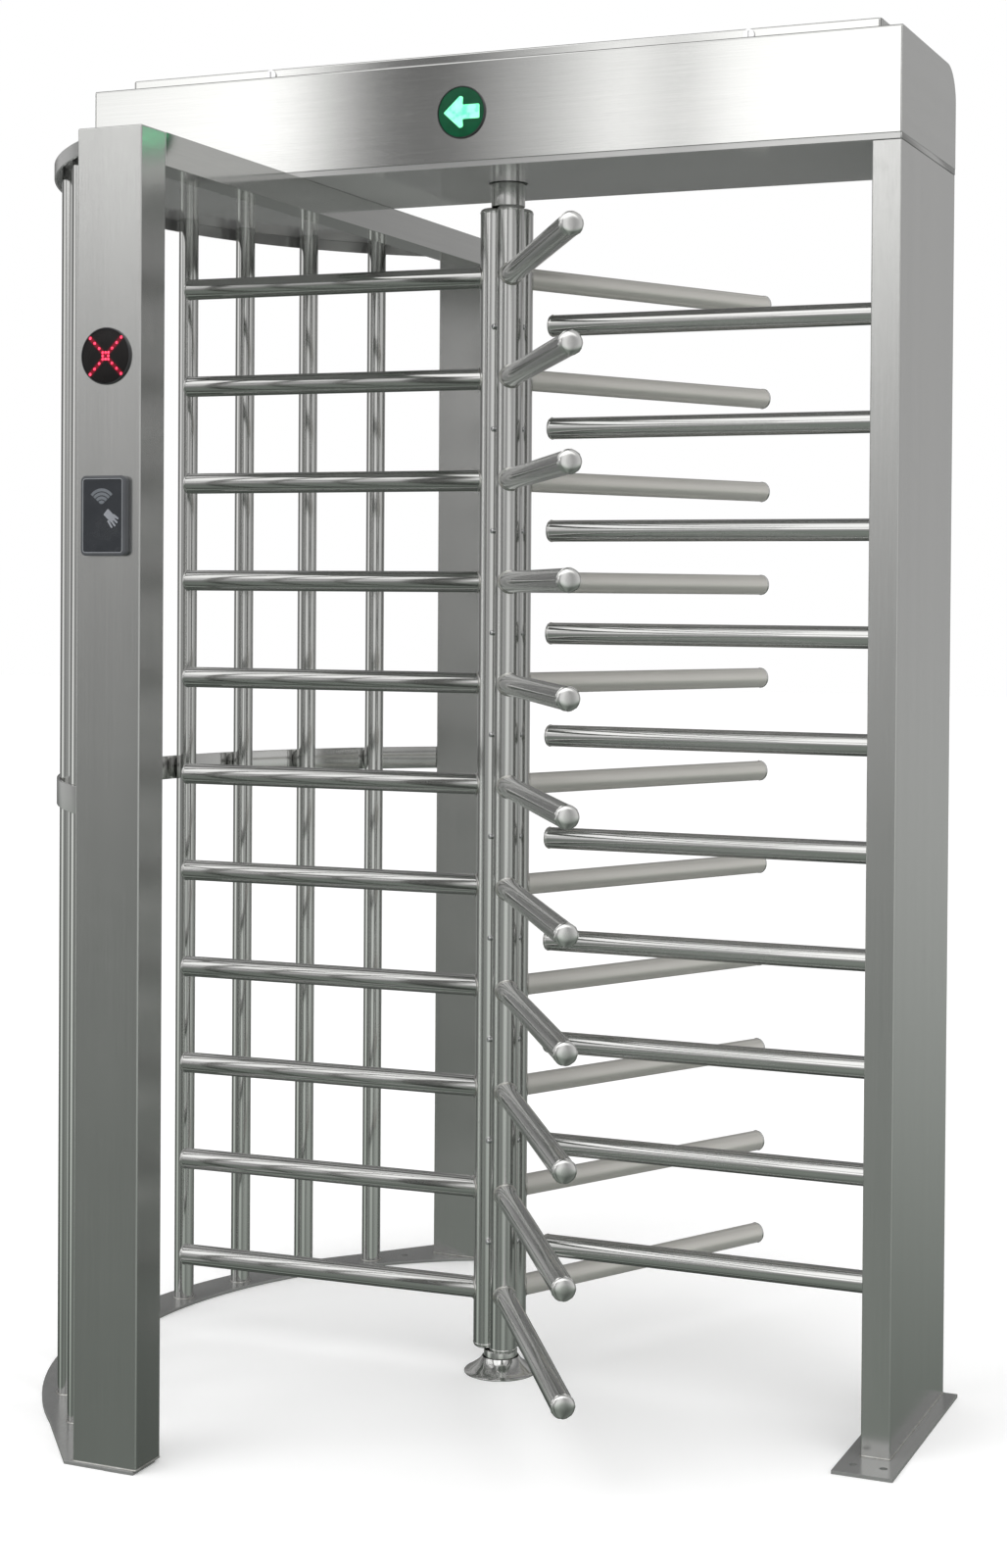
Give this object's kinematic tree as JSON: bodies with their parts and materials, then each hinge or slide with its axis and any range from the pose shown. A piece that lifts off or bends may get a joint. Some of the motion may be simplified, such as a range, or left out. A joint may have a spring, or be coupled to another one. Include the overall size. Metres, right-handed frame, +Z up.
{
  "type": "visitor counter turnstile",
  "caption": "Full-height turnstile: a rotor of comb wings turns between a fixed comb and a barred cage under a header with lock, lamps and card reader.",
  "frame": {"origin": "on the floor under the rotor's axis, at the centre of the floor pivot's bolt circle", "axes": "+Z up along the rotor's axis, +X along the header towards the comb column, +Y towards the back of the passage"},
  "size_m": [1.5919, 1.436, 2.326],
  "materials": {
    "rotor_steel": "polished",
    "comb_steel": "polished",
    "cage_steel": "satin",
    "column_steel": "satin, vertical grain",
    "header_steel": "satin, lengthwise grain",
    "polished_steel": "polished",
    "lock_chrome": "polished",
    "machined_steel": "machined",
    "bearing_bronze": "machined",
    "plate_zinc": "zinc plated",
    "cast_grey": "painted casting",
    "coil_black": "matt",
    "sensor_black": "matt",
    "board_green": "solder mask",
    "supply_aluminium": "perforated case",
    "lamp_black": "gloss",
    "red_lens": "smoked lens",
    "green_lens": "smoked lens",
    "reader_grey": "fine texture",
    "reader_black": "gloss"
  },
  "bodies": {
    "frame": {"back_column": "column_steel", "bearing_bolts": "machined_steel", "bearing_housing": "cast_grey", "bearing_plate": "plate_zinc", "cage_band": "cage_steel", "cage_floor_plate": "cage_steel", "cage_roof": "cage_steel", "cage_tubes": "cage_steel", "comb_bars": "comb_steel", "comb_base_plate": "column_steel", "comb_column": "column_steel", "comb_end_plugs": "comb_steel", "control_board": "board_green", "damper_body": "cast_grey", "floor_cover": "polished_steel", "floor_pivot": "machined_steel", "front_column": "column_steel", "green_lamp_housing": "lamp_black", "green_lamp_lens": "green_lens", "header_cover": "header_steel", "header_end_plates": "header_steel", "header_pan": "header_steel", "hinge_leaves": "polished_steel", "hinge_pins": "polished_steel", "pawl_pins": "machined_steel", "position_sensors": "sensor_black", "power_supply": "supply_aluminium", "reader_case": "reader_grey", "reader_glass": "reader_black", "red_lamp_housing": "lamp_black", "red_lamp_lens": "red_lens", "shaft_bearing": "machined_steel", "side_beam": "cage_steel", "solenoids": "coil_black"},
    "rotor": {"wing_post_1": "rotor_steel", "wing_post_2": "rotor_steel", "wing_post_3": "rotor_steel", "wing_1_arms": "rotor_steel", "wing_2_arms": "rotor_steel", "wing_3_arms": "rotor_steel", "arm_end_plugs": "rotor_steel", "post_end_plugs": "rotor_steel", "post_screws": "polished_steel", "top_hub": "rotor_steel", "bottom_hub": "rotor_steel", "floor_bush": "bearing_bronze", "drive_shaft": "machined_steel", "ratchet_wheel": "machined_steel", "drive_gear": "machined_steel", "sensor_disc": "machined_steel"},
    "damper_pinion": {"damper_pinion": "machined_steel"},
    "entry_pawl": {"entry_pawl": "machined_steel"},
    "exit_pawl": {"exit_pawl": "machined_steel"},
    "entry_plunger": {"entry_plunger": "machined_steel"},
    "exit_plunger": {"exit_plunger": "machined_steel"},
    "lid": {"service_lid": "header_steel", "lid_hinge_knuckles": "polished_steel"},
    "left_lid_lock": {"left_lid_lock": "lock_chrome"},
    "right_lid_lock": {"right_lid_lock": "lock_chrome"}
  },
  "joints": [
    {"name": "rotor_turn", "type": "hinge", "parent": "frame", "child": "rotor", "pos_m": [0, 0, 0], "axis": [0, 0, 1], "continuous": true},
    {"name": "damper_turn", "type": "hinge", "parent": "frame", "child": "damper_pinion", "pos_m": [0.096, 0, 0], "axis": [0, 0, 1], "continuous": true},
    {"name": "entry_plunger_slide", "type": "slide", "parent": "frame", "child": "entry_plunger", "axis": [0, -1, 0], "range_m": [0, 0.0048]},
    {"name": "exit_plunger_slide", "type": "slide", "parent": "frame", "child": "exit_plunger", "axis": [0, 1, 0], "range_m": [0, 0.0048]},
    {"name": "entry_pawl_swing", "type": "hinge", "parent": "frame", "child": "entry_pawl", "pos_m": [-0.07, -0.095, 2.177], "axis": [0, 0, 1], "range_deg": [0, 7]},
    {"name": "exit_pawl_swing", "type": "hinge", "parent": "frame", "child": "exit_pawl", "pos_m": [-0.07, 0.095, 2.177], "axis": [0, 0, -1], "range_deg": [0, 7]},
    {"name": "lid_hinge", "type": "hinge", "parent": "frame", "child": "lid", "pos_m": [0, 0.0975, 2.308], "axis": [-1, 0, 0], "range_deg": [0, 100]},
    {"name": "left_lock_turn", "type": "hinge", "parent": "lid", "child": "left_lid_lock", "pos_m": [-0.405, -0.13, 2.315], "axis": [0, 1, 0], "range_deg": [0, 90]},
    {"name": "right_lock_turn", "type": "hinge", "parent": "lid", "child": "right_lid_lock", "pos_m": [0.49, -0.13, 2.315], "axis": [0, 1, 0], "range_deg": [0, 90]}
  ],
  "couplings": [
    {"joint": "damper_turn", "follows": "rotor_turn", "ratio": -3},
    {"joint": "entry_pawl_swing", "follows": "entry_plunger_slide", "rad_per_m": 25.44},
    {"joint": "exit_pawl_swing", "follows": "exit_plunger_slide", "rad_per_m": 25.44}
  ]
}
